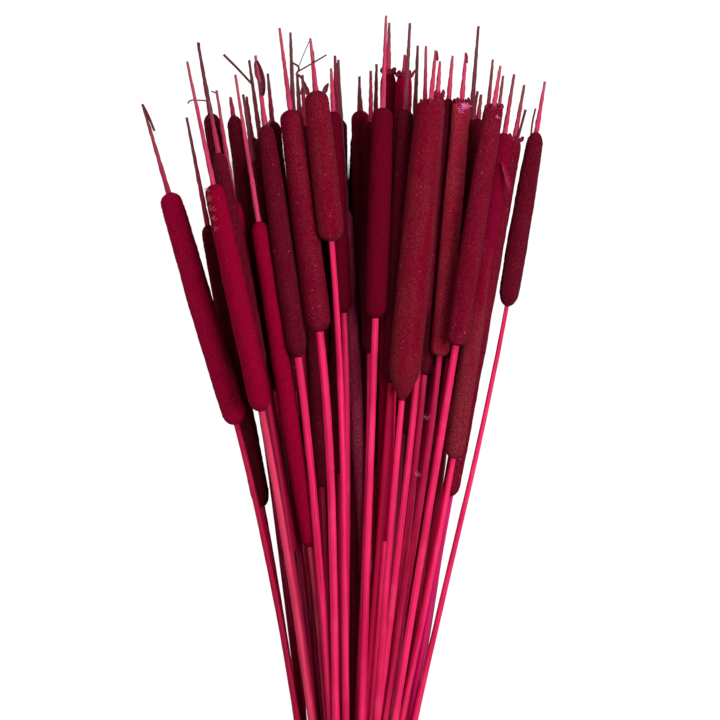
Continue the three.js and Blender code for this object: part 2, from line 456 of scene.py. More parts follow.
class StemTone(Enum):
    """The shades that the dye took on the stems."""

    HOT_PINK = StemSkin("stem_hot_pink", (0.73, 0.018, 0.112), (0.40, 0.001, 0.042), (0.66, 0.045, 0.135))
    CRIMSON = StemSkin("stem_crimson", (0.54, 0.002, 0.055), (0.28, 0.001, 0.026), (0.54, 0.016, 0.080))
    MAGENTA = StemSkin("stem_magenta", (0.60, 0.002, 0.120), (0.34, 0.001, 0.060), (0.52, 0.020, 0.130))
    ROSE = StemSkin("stem_rose", (0.62, 0.040, 0.105), (0.36, 0.010, 0.045), (0.45, 0.100, 0.090))
    WINE = StemSkin("stem_wine", (0.30, 0.002, 0.036), (0.14, 0.001, 0.016), (0.24, 0.014, 0.038))


class SpikeTone(Enum):
    """How far a spike has browned."""

    PINK = SpikeSkin("spike_pink", (0.56, 0.040, 0.110), (0.28, 0.008, 0.042), (0.30, 0.055, 0.075), 0.35)
    CRIMSON = SpikeSkin("spike_crimson", (0.42, 0.008, 0.060), (0.22, 0.004, 0.028), (0.16, 0.020, 0.030),
                        0.45)
    ROSE = SpikeSkin("spike_rose", (0.46, 0.024, 0.075), (0.25, 0.010, 0.038), (0.17, 0.034, 0.040), 0.60)
    BROWN = SpikeSkin("spike_brown", (0.26, 0.016, 0.050), (0.11, 0.008, 0.020), (0.125, 0.028, 0.034), 0.85)


class FrayTone(Enum):
    """The stuff that hangs on the bunch."""

    TORN = Fray("torn_skin", (0.300, 0.003, 0.040), (0.130, 0.002, 0.016))
    DRY = Fray("dry_leaf", (0.075, 0.008, 0.018), (0.140, 0.020, 0.034))
    LINT = Fray("bright_lint", (1.000, 0.100, 0.560), (1.000, 0.420, 0.680))
    FLUFF = Fray("pale_fluff", (0.700, 0.160, 0.230), (0.800, 0.300, 0.340))
    HUSK = Fray("beige_husk", (0.235, 0.050, 0.042), (0.295, 0.100, 0.068))


# ---- bench tools


def clear_selection() -> None:
    """Leaves nothing selected."""
    if bpy.context.object and bpy.context.object.mode != "OBJECT":
        bpy.ops.object.mode_set(mode="OBJECT")
    bpy.ops.object.select_all(action="DESELECT")


def take(piece: Object) -> Object:
    """Selects one object and makes it the active one."""
    clear_selection()
    piece.select_set(True)
    bpy.context.view_layer.objects.active = piece
    return piece


def places(mesh: Mesh) -> np.ndarray:
    """The mesh's points, one to a row."""
    found = np.zeros(len(mesh.vertices) * 3, np.float32)
    mesh.vertices.foreach_get("co", found)
    return found.reshape(-1, 3)


def move_points(mesh: Mesh, points: np.ndarray) -> None:
    """Puts the mesh's points where they are told."""
    mesh.vertices.foreach_set("co", points.astype(np.float32).ravel())
    mesh.update()


def store(mesh: Mesh, name: str, values: np.ndarray) -> None:
    """Keeps a number or a vector for each point on the mesh."""
    vector = values.ndim == 2
    layer = mesh.attributes.new(name, "FLOAT_VECTOR" if vector else "FLOAT", "POINT")
    layer.data.foreach_set("vector" if vector else "value", values.astype(np.float32).ravel())


def apply_modifier(piece: Object, kind: str, **settings: Any) -> None:
    """Adds one modifier, sets it and applies it."""
    made = piece.modifiers.new(kind.lower(), kind)
    for key, value in settings.items():
        setattr(made, key, value)
    take(piece)
    bpy.ops.object.modifier_apply(modifier=made.name)


def placed(name: str, data: ID) -> Object:
    """A new object that holds some data."""
    made = bpy.data.objects.new(name, data)
    bpy.context.scene.collection.objects.link(made)
    return made


def joined(parts: Sequence[Object]) -> Object:
    """Joins objects into the first of them."""
    clear_selection()
    for part in parts:
        part.select_set(True)
    bpy.context.view_layer.objects.active = parts[0]
    bpy.ops.object.join()
    return bpy.context.object


def smooth_curve(name: str, points: Sequence[Vector], radii: Sequence[float], **settings: Any) -> Object:
    """A curve that runs smoothly through some points.

    Args:
        name: its name.
        points: where it goes.
        radii: how thick it is at each point.
        settings: its other properties.

    Returns:
        The curve's object.
    """
    data = bpy.data.curves.new(name, "CURVE")
    data.dimensions = "3D"
    for key, value in settings.items():
        setattr(data, key, value)
    spline = data.splines.new("BEZIER")
    spline.bezier_points.add(len(points) - 1)
    for point, place, radius in zip(spline.bezier_points, points, radii):
        point.co = place
        point.radius = radius
        point.handle_left_type = "AUTO"
        point.handle_right_type = "AUTO"
    return placed(name, data)


def hand_in(piece: Object, node: str) -> None:
    """Puts a piece on its body and hides the node that it replaces."""
    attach(piece, BODY)
    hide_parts(node)
    LOG.info("%s: %d faces", piece.name, len(piece.data.polygons))


# ---- the straight blank


class Section(Enum):
    """The stretches of a cattail, in the order of their material slots."""

    STEM = 0
    HEAD = 1
    SPIKE = 2
    CUT = 3


@dataclass
class Blank:
    """A straight cattail, one unit high in each of its sections and one unit in radius."""

    sides: int = 30
    stem_cuts: int = 72
    head_cuts: int = 112
    spike_cuts: int = 18
    near: float = 0.01

    def model(self) -> Object:
        """Models the blank from a disc that is drawn up section by section.

        Returns:
            The blank, which isn't shown.
        """
        clear_selection()
        bpy.ops.mesh.primitive_circle_add(vertices=self.sides, radius=1.0, fill_type="NGON")
        blank = bpy.context.object
        blank.name = "blank"
        bpy.ops.object.mode_set(mode="EDIT")
        bpy.ops.mesh.select_mode(type="FACE")
        bpy.ops.mesh.select_all(action="SELECT")
        for _ in range(Section.CUT.value):
            bpy.ops.mesh.extrude_region_move(TRANSFORM_OT_translate={"value": (0, 0, 1)})
        bpy.ops.object.mode_set(mode="OBJECT")
        for section, cuts in zip(Section, (self.stem_cuts, self.head_cuts, self.spike_cuts)):
            self._ring(blank, section.value, cuts)
        take(blank)
        bpy.ops.object.mode_set(mode="EDIT")
        bpy.ops.mesh.select_all(action="SELECT")
        bpy.ops.mesh.normals_make_consistent(inside=False)
        bpy.ops.object.mode_set(mode="OBJECT")
        self._sort_faces(blank.data)
        return blank

    def _ring(self, blank: Object, low: int, cuts: int) -> None:
        """Cuts rings into the section that starts at a height."""
        mesh = blank.data
        take(blank)
        heights = places(mesh)[:, 2]
        bpy.ops.object.mode_set(mode="EDIT")
        bpy.ops.mesh.select_mode(type="EDGE")
        bpy.ops.mesh.select_all(action="DESELECT")
        bpy.ops.object.mode_set(mode="OBJECT")
        for edge in mesh.edges:
            ends = sorted(heights[vertex] for vertex in edge.vertices)
            edge.select = bool(abs(ends[0] - low) < self.near and abs(ends[1] - low - 1) < self.near)
        bpy.ops.object.mode_set(mode="EDIT")
        bpy.ops.mesh.subdivide(number_cuts=cuts)
        bpy.ops.object.mode_set(mode="OBJECT")

    @staticmethod
    def _sort_faces(mesh: Mesh) -> None:
        """Gives each face the material slot of its section."""
        for _ in Section:
            mesh.materials.append(None)
        for face in mesh.polygons:
            flat = len(face.vertices) > 4
            section = Section.CUT if flat else Section(min(Section.SPIKE.value, int(face.center.z)))
            face.material_index = section.value
            face.use_smooth = not flat


# ---- one cattail

CORNERS = 7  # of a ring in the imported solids
AFTER_STEM = 7  # rings from a head's foot to the spike's tip
HEAD_RINGS = 4  # steps from a head's foot to its crown


@dataclass
class Route:
    """Where a node's rings lie, from the cut end to the tip."""

    centres: np.ndarray
    radii: np.ndarray

    @classmethod
    def read(cls, node: Object) -> "Route":
        """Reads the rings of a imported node.

        Args:
            node: the node's object.

        Returns:
            Its route.
        """
        points = np.unique(np.round(places(node.data), 6), axis=0)
        points = points[np.argsort(points[:, 1])]
        rings = points.reshape(-1, CORNERS, 3)
        centres = rings.mean(axis=1)
        radii = np.linalg.norm(rings - centres[:, None], axis=2).mean(axis=1)
        return cls(centres, radii)

    @property
    def foot(self) -> int:
        """Which ring is the head's foot."""
        return len(self.centres) - AFTER_STEM

    @property
    def crown(self) -> int:
        """Which ring is the head's crown."""
        return self.foot + HEAD_RINGS

    def lengths(self) -> tuple[float, float, float]:
        """The lengths of the stem, the head and the spike."""
        steps = np.linalg.norm(np.diff(self.centres, axis=0), axis=1)
        stretches = (steps[:self.foot], steps[self.foot:self.crown], steps[self.crown:])
        return tuple(float(stretch.sum()) for stretch in stretches)

    def thickness(self) -> float:
        """The head's greatest radius."""
        return float(self.radii.max())

    def curve(self, name: str) -> Object:
        """A smooth curve through the rings' centres.

        Args:
            name: the curve's name.

        Returns:
            The curve's object.
        """
        keep = [*range(self.foot + 1), self.foot + 2, self.crown, self.crown + 2]
        points = [Vector(self.centres[index]) for index in keep]
        return smooth_curve(name, points, [1.0] * len(points), twist_mode="Z_UP", resolution_u=24)


@dataclass(frozen=True)
class Outline:
    """The shape of a head: how its ends are rounded and how it narrows towards its crown."""

    foot_round: float = 9.5 * MM
    foot_power: float = 2.1
    crown_round: float = 7.5 * MM
    crown_power: float = 2.1
    narrowing: float = 0.15
    foot_narrowing: float = 0.06
    belly: float = 0.4

    def width(self, part: np.ndarray, from_foot: np.ndarray, from_crown: np.ndarray) -> np.ndarray:
        """The head's thickness, as a part of the greatest.

        Args:
            part: how far up the head, from 0 to 1.
            from_foot: how far from the foot, in metres.
            from_crown: how far from the crown, in metres.

        Returns:
            The thickness.
        """
        upper = np.clip((part - self.belly) / (1 - self.belly), 0, 1)
        lower = np.clip((self.belly - part) / self.belly, 0, 1)
        full = 1 - self.narrowing * upper ** 2 - self.foot_narrowing * lower ** 2
        foot = self._dome(from_foot / self.foot_round, self.foot_power)
        crown = self._dome(from_crown / self.crown_round, self.crown_power)
        return full * foot * crown

    @staticmethod
    def _dome(part: np.ndarray, power: float) -> np.ndarray:
        """A dome that is round by a power."""
        return (1 - (1 - np.clip(part, 0, 1)) ** power) ** (1 / power)


class HeadShape(Enum):
    """The outlines that the heads have."""

    ROUND = Outline()
    SLENDER = Outline(foot_round=13 * MM, crown_round=9 * MM, narrowing=0.27)
    POINTED = Outline(26 * MM, 1.45, 8 * MM, 2.0, narrowing=0.14)
    BLUNT = Outline(7 * MM, 2.5, 5 * MM, 2.8, narrowing=0.12)


@dataclass(frozen=True)
class Look:
    """The finishes and the shape of one cattail."""

    head: HeadTone
    stem: StemTone
    spike: SpikeTone
    shape: HeadShape = HeadShape.ROUND


@dataclass
class Cattail:
    """One grown piece: its stem, its head and the spike over it."""

    node: str
    order: int
    route: Route
    look: Look
    ribs: int = 6
    rib_depth: float = 0.03
    tip_taper: float = 0.78
    end_crowding: float = 0.75
    lump_depth: float = 0.9 * MM
    tuft_depth: float = 0.42 * MM
    skin_depth: float = 0.3 * MM
    shoulder: float = 4 * MM
    spacing: float = 0.09

    def grow(self, blank: Object, lumps: dict[str, Texture]) -> Object:
        """Sizes, roughens and bends a copy of the blank.

        Args:
            blank: the straight cattail.
            lumps: the textures that roughen it.

        Returns:
            The finished piece.
        """
        piece = placed(f"{self.node}_grown", blank.data.copy())
        self._size(piece.data)
        self._roughen(piece, lumps)
        self._bend(piece)
        return piece

    def _size(self, mesh: Mesh) -> None:
        """Gives the blank this cattail's lengths and thicknesses, and keeps the straight places."""
        unit = places(mesh)
        stem, head, spike = self.route.lengths()
        height = unit[:, 2]
        along = self._heights(height, stem, head, spike)
        turn = np.arctan2(unit[:, 1], unit[:, 0])
        on_axis = np.hypot(unit[:, 0], unit[:, 1])
        radius = self._radii(height, along, turn, stem, head, spike) * on_axis
        sized = np.stack([radius * np.cos(turn), radius * np.sin(turn), along], axis=1)
        offset = np.array([self.order * 0.37, self.order * 0.11, self.order * 0.73])
        store(mesh, GROWN, sized + offset)
        store(mesh, RISE, height)
        move_points(mesh, sized)

    def _heights(self, height: np.ndarray, stem: float, head: float, spike: float) -> np.ndarray:
        """Where the rings go along the cattail, closer together at the head's ends."""
        part = np.clip(height - HEAD_START, 0, 1)
        eased = part - self.end_crowding * np.sin(2 * math.pi * part) / (2 * math.pi)
        in_stem = np.clip(height, 0, 1) * stem
        in_spike = np.clip(height - SPIKE_START, 0, 1) * spike
        return in_stem + eased * head + in_spike

    def _radii(self, height: np.ndarray, along: np.ndarray, turn: np.ndarray, stem: float, head: float,
               spike: float) -> np.ndarray:
        """The cattail's outline: a ribbed stem, a round-ended head and a blunt spike."""
        radii, foot, crown = self.route.radii, self.route.foot, self.route.crown
        ribbed = 1 + self.rib_depth * np.cos(self.ribs * turn + 9 * along + self.order)
        in_stem = np.interp(along, [0, stem], [radii[0], radii[foot]]) * ribbed
        up = along - stem
        width = self.look.shape.value.width(up / head, up, head - up)
        least = np.interp(along, [stem, stem + head], [radii[foot], radii[crown]])
        in_head = np.maximum(self.route.thickness() * width, least)
        knots = 1 + 0.08 * np.cos(3 * turn + 900 * along) + 0.07 * np.cos(410 * along + self.order)
        tapered = [radii[crown], self.tip_taper * radii[-1]]
        in_spike = np.interp(along, [stem + head, stem + head + spike], tapered) * knots
        return np.where(height <= HEAD_START, in_stem, np.where(height < SPIKE_START, in_head, in_spike))

    def _roughen(self, piece: Object, lumps: dict[str, Texture]) -> None:
        """Presses slow lumps and fine tufts into the skin, each plant in its own patch of the texture."""
        mesh = piece.data
        height = places(mesh)[:, 2]
        stem, head, _ = self.route.lengths()
        inner = np.clip(np.minimum(height - stem, stem + head - height) / self.shoulder, 0, 1)
        shift = np.array([self.spacing * self.order, 0.0, 0.0])
        move_points(mesh, places(mesh) + shift)
        group = piece.vertex_groups.new(name="down")
        for index in np.flatnonzero(inner > 0):
            group.add([int(index)], float(inner[index]), "REPLACE")
        for name, depth, where in (
            ("slow", self.lump_depth, "down"),
            ("tufts", self.tuft_depth, "down"),
            ("tufts", self.skin_depth, ""),
        ):
            apply_modifier(piece, "DISPLACE", texture=lumps[name], texture_coords="LOCAL", strength=depth,
                           mid_level=0.5, vertex_group=where)
        piece.vertex_groups.clear()
        move_points(mesh, places(piece.data) - shift)

    def _bend(self, piece: Object) -> None:
        """Bends the straight cattail along its route."""
        curve = self.route.curve(f"{self.node}_route")
        apply_modifier(piece, "CURVE", object=curve, deform_axis="POS_Z")
        bpy.data.objects.remove(curve)

    def dress(self, piece: Object, wardrobe: "Wardrobe") -> None:
        """Gives each section its finish."""
        finishes = (self.look.stem.value, self.look.head.value, self.look.spike.value, Pith())
        for section, finish in zip(Section, finishes):
            piece.data.materials[section.value] = wardrobe.get(finish)


class Wardrobe:
    """Makes each finish's material once."""

    def __init__(self) -> None:
        """Starts with nothing made."""
        self._made: dict[Any, Material] = {}

    def get(self, finish: Any) -> Material:
        """The material of a finish."""
        if finish not in self._made:
            self._made[finish] = finish.material()
        return self._made[finish]


# ---- torn bits, dry leaf and lint


class Anchor(Enum):
    """The end of a section that a bit hangs on."""

    FOOT = 0
    CROWN = 1
    TIP = 2


@dataclass(frozen=True)
class Twig:
    """A thin broken stick. Its points are millimetres from its anchor: across, along the bunch and up."""

    anchor: Anchor
    points: tuple[tuple[float, float, float], ...]
    thick: float = 1.6
    tone: FrayTone = FrayTone.DRY


@dataclass(frozen=True)
class Flake:
    """A pointed, curled strip of dry leaf or torn skin."""

    anchor: Anchor
    start: tuple[float, float, float]
    end: tuple[float, float, float]
    width: float = 4.0
    tone: FrayTone = FrayTone.DRY


@dataclass(frozen=True)
class Tuft:
    """Fine lint, or a ragged rim, around a place on the cattail."""

    anchor: Anchor
    offset: tuple[float, float, float]
    count: int
    length: float
    spread: float
    tone: FrayTone
    thick: float = 0.16


@dataclass(frozen=True)
class Knob:
    """A bud on a spike."""

    anchor: Anchor
    offset: tuple[float, float, float]
    size: float = 3.4
    tone: FrayTone = FrayTone.TORN


@dataclass(frozen=True)
class Collar:
    """The torn rim of down that stands up round a crown."""

    count: int = 11
    longest: float = 5.5
    width: float = 3.6
    tone: FrayTone = FrayTone.TORN
    anchor: Anchor = Anchor.CROWN


FOOT, CROWN, TIP = Anchor
RAGGED = Collar()

# What hangs on the cattails, by node number.
HANGING: dict[int, tuple[Any, ...]] = {
    17: (Twig(TIP, ((3, -19, 1), (-8, -7, 2), (-19, 4, 2)), thick=1.7),),
    25: (Flake(TIP, (0.2, -6.5, 0.8), (1.3, -0.4, 1.0), 1.6),),
    30: (RAGGED,),
    31: (RAGGED, Flake(CROWN, (4, -4, 2), (8.5, 3, 3), 2.2, FrayTone.TORN)),
    34: (Twig(TIP, ((0.4, -2.2, 0.3), (-1.8, -1.6, 0.3), (-3.8, -0.8, 0.3)), thick=1.0),),
    40: (
        RAGGED,
        Twig(CROWN, ((0, -9, 2), (4, 6, 2.5), (8, 21, 2.5)), thick=2.0),
    ),
    41: (Twig(TIP, ((-0.2, 0, 0), (4, -8, 1.2), (9, -20, 1.6)), thick=2.1),),
    42: (Twig(TIP, ((0, -1, 0), (-6, -0.6, 1), (-14, -1.2, 1.4), (-15.2, -3, 1)), thick=1.2),),
    45: (RAGGED,),
    46: (
        Knob(CROWN, (2.6, 17, 0)),
        Flake(CROWN, (-2, -22, 8), (5, -45, 8), 3.4, FrayTone.TORN),
    ),
    47: (Twig(CROWN, ((-4.2, -4, 0), (-2.8, 8, 0), (-0.6, 17.5, 0)), thick=1.5),),
    48: (
        Tuft(CROWN, (-4.2, -4, 5.6), 20, 2.4, 1.5, FrayTone.HUSK, thick=0.22),
        Tuft(CROWN, (-2.8, -11, 6.6), 26, 3.0, 1.6, FrayTone.HUSK, thick=0.22),
        Tuft(CROWN, (-1.2, -18, 7.0), 26, 3.0, 1.6, FrayTone.HUSK, thick=0.22),
        Tuft(CROWN, (0.4, -25, 7.4), 22, 2.6, 1.5, FrayTone.HUSK, thick=0.22),
        Tuft(CROWN, (2.0, -33, 7.6), 14, 2.2, 1.4, FrayTone.HUSK, thick=0.22),
    ),
    49: (
        Flake(TIP, (0.8, -4, 1.2), (6.4, -30, 1.4), 6.5),
        Flake(CROWN, (1.5, -2, 3), (4.5, 5, 3), 1.8),
    ),
    51: (
        RAGGED,
        Tuft(CROWN, (2.5, -4, 7), 60, 3.4, 3.2, FrayTone.LINT, thick=0.36),
        Tuft(CROWN, (-2, -8, 7.5), 14, 3.0, 2.6, FrayTone.LINT, thick=0.3),
        Flake(TIP, (0.9, -8, 1), (0.4, -1, 1), 1.6, FrayTone.TORN),
        Tuft(FOOT, (-9, -46, 1.5), 16, 4.0, 2.0, FrayTone.FLUFF, thick=0.12),
        Tuft(FOOT, (-16, -88, 1.5), 12, 4.0, 2.0, FrayTone.FLUFF, thick=0.12),
    ),
    52: (
        RAGGED,
        Collar(count=9, longest=6.0, width=3.6),
        Tuft(CROWN, (3, -8, 7), 8, 3.0, 2.0, FrayTone.LINT, thick=0.2),
    ),
    54: (
        Twig(TIP, ((0.4, 0, 0), (-4.5, -11, 0.5), (-8.5, -21, 0.5)), thick=0.7),
        Twig(TIP, ((-13.5, -18, 0), (-8.5, -22, 0.5), (-10.5, -27, 0)), thick=1.5),
        Twig(TIP, ((-9.5, -25, 0.8), (1, -19, 3), (12, -12.5, 3)), thick=1.2),
        Twig(TIP, ((-9, -27, 0.4), (-5.5, -31, 0.4), (-7, -42, 0)), thick=1.8),
        Flake(CROWN, (-5.5, -4, 5), (-10, 8, 4), 4.2),
        Flake(CROWN, (5, -3, 5), (9.5, 5.5, 4), 3.6),
    ),
    56: (
        Collar(count=7, longest=3.2, width=2.2),
        Flake(TIP, (1.2, -8, 0.8), (1.0, -0.5, 0.8), 1.9, FrayTone.TORN),
    ),
}


@dataclass
class Frays:
    """Makes what hangs on one cattail, and joins it to the cattail."""

    cattail: Cattail
    wardrobe: Wardrobe

    def hang(self, piece: Object) -> None:
        """Makes each bit and joins them all to the piece.

        Args:
            piece: the grown cattail.
        """
        number = int(self.cattail.node.split("_")[1])
        bits = HANGING.get(number, ())
        if not bits:
            return
        chance = random.Random(number)
        makers: dict[type, Callable[[Any, Vector, random.Random], Object]] = {
            Twig: self._twig, Flake: self._flake, Tuft: self._tuft, Knob: self._knob, Collar: self._collar}
        made = [makers[type(bit)](bit, self._anchor(bit.anchor), chance) for bit in bits]
        for bit, shape in zip(bits, made):
            shape.data.materials.clear()
            shape.data.materials.append(self.wardrobe.get(bit.tone.value))
        joined([piece, *made])

    def _anchor(self, anchor: Anchor) -> Vector:
        """Where a bit hangs."""
        route = self.cattail.route
        return Vector(route.centres[{FOOT: route.foot, CROWN: route.crown, TIP: -1}[anchor]])

    @staticmethod
    def _strand(points: Sequence[Vector], radii: Sequence[float], sides: int) -> Object:
        """A closed round strand through some points."""
        take(smooth_curve("strand", points, radii, bevel_depth=1.0, bevel_resolution=sides,
                          use_fill_caps=True, resolution_u=5))
        bpy.ops.object.convert(target="MESH")
        bpy.ops.object.shade_smooth()
        return bpy.context.object

    def _twig(self, twig: Twig, anchor: Vector, chance: random.Random) -> Object:
        """A broken stick."""
        points = [anchor + Vector(point) * MM for point in twig.points]
        radii = [twig.thick / 2 * MM * chance.uniform(0.85, 1.1) for _ in points]
        return self._strand(points, radii, 2)

    def _flake(self, flake: Flake, anchor: Vector, chance: random.Random) -> Object:
        """A curled strip that is pointed at its far end."""
        clear_selection()
        bpy.ops.mesh.primitive_grid_add(x_subdivisions=4, y_subdivisions=14, size=1.0)
        made = bpy.context.object
        start, end = Vector(flake.start) * MM, Vector(flake.end) * MM
        way = end - start
        side = way.cross(Vector((0, 0, 1))).normalized()
        points = places(made.data)
        across, part = points[:, 0], points[:, 1] + 0.5
        phase = chance.uniform(0, 6)
        wave = np.sin(part * 7 + phase) * 0.12 + np.sin(part * 19 + phase) * 0.05
        swell = np.clip(np.sin(np.clip(part * 0.94 + 0.06, 0, 1) * math.pi), 0, 1) ** 0.7
        half = flake.width * MM * (swell + wave * 0.6)
        curl = (across ** 2 * 2.2 - 0.3) * flake.width * MM
        base = np.array(anchor + start)
        shaped = base + np.outer(part, way) + np.outer(across * half + wave * flake.width * MM * 0.4, side)
        shaped[:, 2] += curl + wave * flake.width * MM * 0.5
        move_points(made.data, shaped)
        apply_modifier(made, "SOLIDIFY", thickness=0.25 * MM, offset=0.0)
        bpy.ops.object.shade_smooth()
        return made

    def _collar(self, collar: Collar, anchor: Vector, chance: random.Random) -> Object:
        """Torn scraps in a ring, rooted in the head's shoulder."""
        route, crown = self.cattail.route, self.cattail.route.crown
        along = Vector(route.centres[crown] - route.centres[crown - 1]).normalized()
        side = along.cross(Vector((0, 0, 1))).normalized()
        up = side.cross(along)
        rim = float(route.radii[crown - 1])
        scraps = []
        for index in range(collar.count):
            turn = 2 * math.pi * (index + chance.uniform(-0.35, 0.35)) / collar.count
            out = side * math.cos(turn) + up * math.sin(turn)
            root = out * rim * chance.uniform(0.70, 0.86) - along * chance.uniform(1.5, 3.5) * MM
            reach = collar.longest * chance.uniform(0.55, 1.0) * MM
            end = root + along * reach + out * reach * chance.uniform(-0.15, 0.35)
            width = collar.width * chance.uniform(0.5, 1.0)
            scraps.append(self._flake(Flake(CROWN, tuple(root / MM), tuple(end / MM), width), anchor, chance))
        return joined(scraps)

    def _tuft(self, tuft: Tuft, anchor: Vector, chance: random.Random) -> Object:
        """Many short hairs around a place."""
        middle = anchor + Vector(tuft.offset) * MM
        hairs = []
        for _ in range(tuft.count):
            turn = chance.uniform(0, 2 * math.pi)
            reach = tuft.spread * math.sqrt(chance.random()) * MM
            spot = (math.cos(turn) * reach, chance.uniform(-2, 1) * MM, math.sin(turn) * reach * 0.6)
            root = middle + Vector(spot)
            lean = Vector((chance.uniform(-1, 1), chance.uniform(-0.2, 1), chance.uniform(-0.2, 0.9)))
            way = lean.normalized()
            length = tuft.length * chance.uniform(0.4, 1.0) * MM
            bow = Vector([chance.uniform(-1, 1) for _ in range(3)]) * length * 0.3
            thick = tuft.thick * MM
            radii = [thick / 2, thick / 2 * chance.uniform(0.8, 1.6), thick / 5]
            points = [root, root + way * length * 0.5 + bow, root + way * length]
            hairs.append(self._strand(points, radii, 0))
        return joined(hairs)

    def _knob(self, knob: Knob, anchor: Vector, chance: random.Random) -> Object:
        """A small lumpy bud."""
        clear_selection()
        place = anchor + Vector(knob.offset) * MM
        bpy.ops.mesh.primitive_ico_sphere_add(subdivisions=3, radius=knob.size / 2 * MM, location=place)
        made = bpy.context.object
        bpy.ops.object.transform_apply(location=True, rotation=True, scale=True)
        points = places(made.data)
        middle = np.array(place)
        points = middle + (points - middle) * np.array([0.85, 1.45, 0.85]) * (
            1 + 0.12 * np.sin(points[:, :1] * 3000 + chance.uniform(0, 6)))
        move_points(made.data, points)
        bpy.ops.object.shade_smooth()
        return made


# ---- the bunch


# Looks that are told apart from above, each with the numbers of its nodes.
WORN: dict[Look, tuple[int, ...]] = {
    Look(HeadTone.DARK, StemTone.WINE, SpikeTone.BROWN): (17, 21, 23, 25, 27, 28),
    Look(HeadTone.DARK, StemTone.WINE, SpikeTone.CRIMSON): (18,),
    Look(HeadTone.DARK, StemTone.CRIMSON, SpikeTone.CRIMSON): (19,),
    Look(HeadTone.DARK, StemTone.CRIMSON, SpikeTone.ROSE): (20, 32),
    Look(HeadTone.DARK, StemTone.CRIMSON, SpikeTone.PINK): (22,),
    Look(HeadTone.DARK, StemTone.WINE, SpikeTone.ROSE): (24, 42),
    Look(HeadTone.DARK, StemTone.WINE, SpikeTone.CRIMSON, HeadShape.SLENDER): (26,),
    Look(HeadTone.BROWNISH, StemTone.WINE, SpikeTone.BROWN): (29,),
    Look(HeadTone.RASPBERRY, StemTone.CRIMSON, SpikeTone.ROSE): (30,),
    Look(HeadTone.CRIMSON, StemTone.CRIMSON, SpikeTone.CRIMSON): (31,),
    Look(HeadTone.DARK, StemTone.CRIMSON, SpikeTone.ROSE, HeadShape.SLENDER): (33,),
    Look(HeadTone.RUBY, StemTone.WINE, SpikeTone.PINK): (34,),
    Look(HeadTone.CRIMSON, StemTone.ROSE, SpikeTone.PINK): (35, 48),
    Look(HeadTone.PURPLE, StemTone.WINE, SpikeTone.BROWN): (36,),
    Look(HeadTone.CRIMSON, StemTone.HOT_PINK, SpikeTone.CRIMSON): (37,),
    Look(HeadTone.DARK, StemTone.HOT_PINK, SpikeTone.PINK): (38,),
    Look(HeadTone.BURGUNDY, StemTone.CRIMSON, SpikeTone.ROSE): (39,),
    Look(HeadTone.BURGUNDY, StemTone.MAGENTA, SpikeTone.ROSE): (40,),
    Look(HeadTone.RUBY, StemTone.CRIMSON, SpikeTone.ROSE): (41,),
    Look(HeadTone.RASPBERRY, StemTone.HOT_PINK, SpikeTone.PINK): (43, 55),
    Look(HeadTone.DARK, StemTone.HOT_PINK, SpikeTone.CRIMSON): (44,),
    Look(HeadTone.BURGUNDY, StemTone.HOT_PINK, SpikeTone.PINK): (45, 53),
    Look(HeadTone.TWO_TONED, StemTone.HOT_PINK, SpikeTone.ROSE): (46,),
    Look(HeadTone.DARK, StemTone.HOT_PINK, SpikeTone.PINK, HeadShape.SLENDER): (47, 49),
    Look(HeadTone.DARK, StemTone.CRIMSON, SpikeTone.BROWN): (50,),
    Look(HeadTone.RUSSET, StemTone.HOT_PINK, SpikeTone.PINK, HeadShape.BLUNT): (51,),
    Look(HeadTone.BURGUNDY, StemTone.HOT_PINK, SpikeTone.PINK, HeadShape.BLUNT): (52,),
    Look(HeadTone.BROWNISH, StemTone.HOT_PINK, SpikeTone.PINK): (54,),
    Look(HeadTone.BROWNISH, StemTone.HOT_PINK, SpikeTone.PINK, HeadShape.POINTED): (56,),
}
LOOKS = {number: look for look, numbers in WORN.items() for number in numbers}


@dataclass
class Bunch:
    """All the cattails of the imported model."""

    nodes: dict[str, Object]
    wardrobe: Wardrobe
    seed: int = 7
    lump_size: float = 24 * MM
    tuft_size: float = 2.2 * MM

    def build(self) -> None:
        """Grows every cattail, from the bottom of the pile to the top."""
        blank = Blank().model()
        lumps = {"slow": self._clouds("slow_lumps", self.lump_size),
                 "tufts": self._clouds("down_tufts", self.tuft_size)}
        names = sorted(name for name in self.nodes if name.startswith("cattail"))
        chance = random.Random(self.seed)
        for order, name in enumerate(names):
            hidden = self._hidden_look(chance)
            look = LOOKS.get(int(name.split("_")[1]), hidden)
            cattail = Cattail(name, order, Route.read(self.nodes[name]), look)
            piece = cattail.grow(blank, lumps)
            cattail.dress(piece, self.wardrobe)
            Frays(cattail, self.wardrobe).hang(piece)
            hand_in(piece, name)
        bpy.data.objects.remove(blank)

    @staticmethod
    def _clouds(name: str, size: float) -> Texture:
        """A cloudy texture with lumps of a size."""
        made = bpy.data.textures.new(name, "CLOUDS")
        made.noise_scale = size
        made.noise_depth = 1
        return made

    @staticmethod
    def _hidden_look(chance: random.Random) -> Look:
        """The look of a cattail at the bottom of the pile, which is hardly seen."""
        stem = chance.choice([StemTone.WINE, StemTone.CRIMSON, StemTone.MAGENTA])
        return Look(HeadTone.DARK, stem, chance.choice([SpikeTone.CRIMSON, SpikeTone.ROSE, SpikeTone.BROWN]))


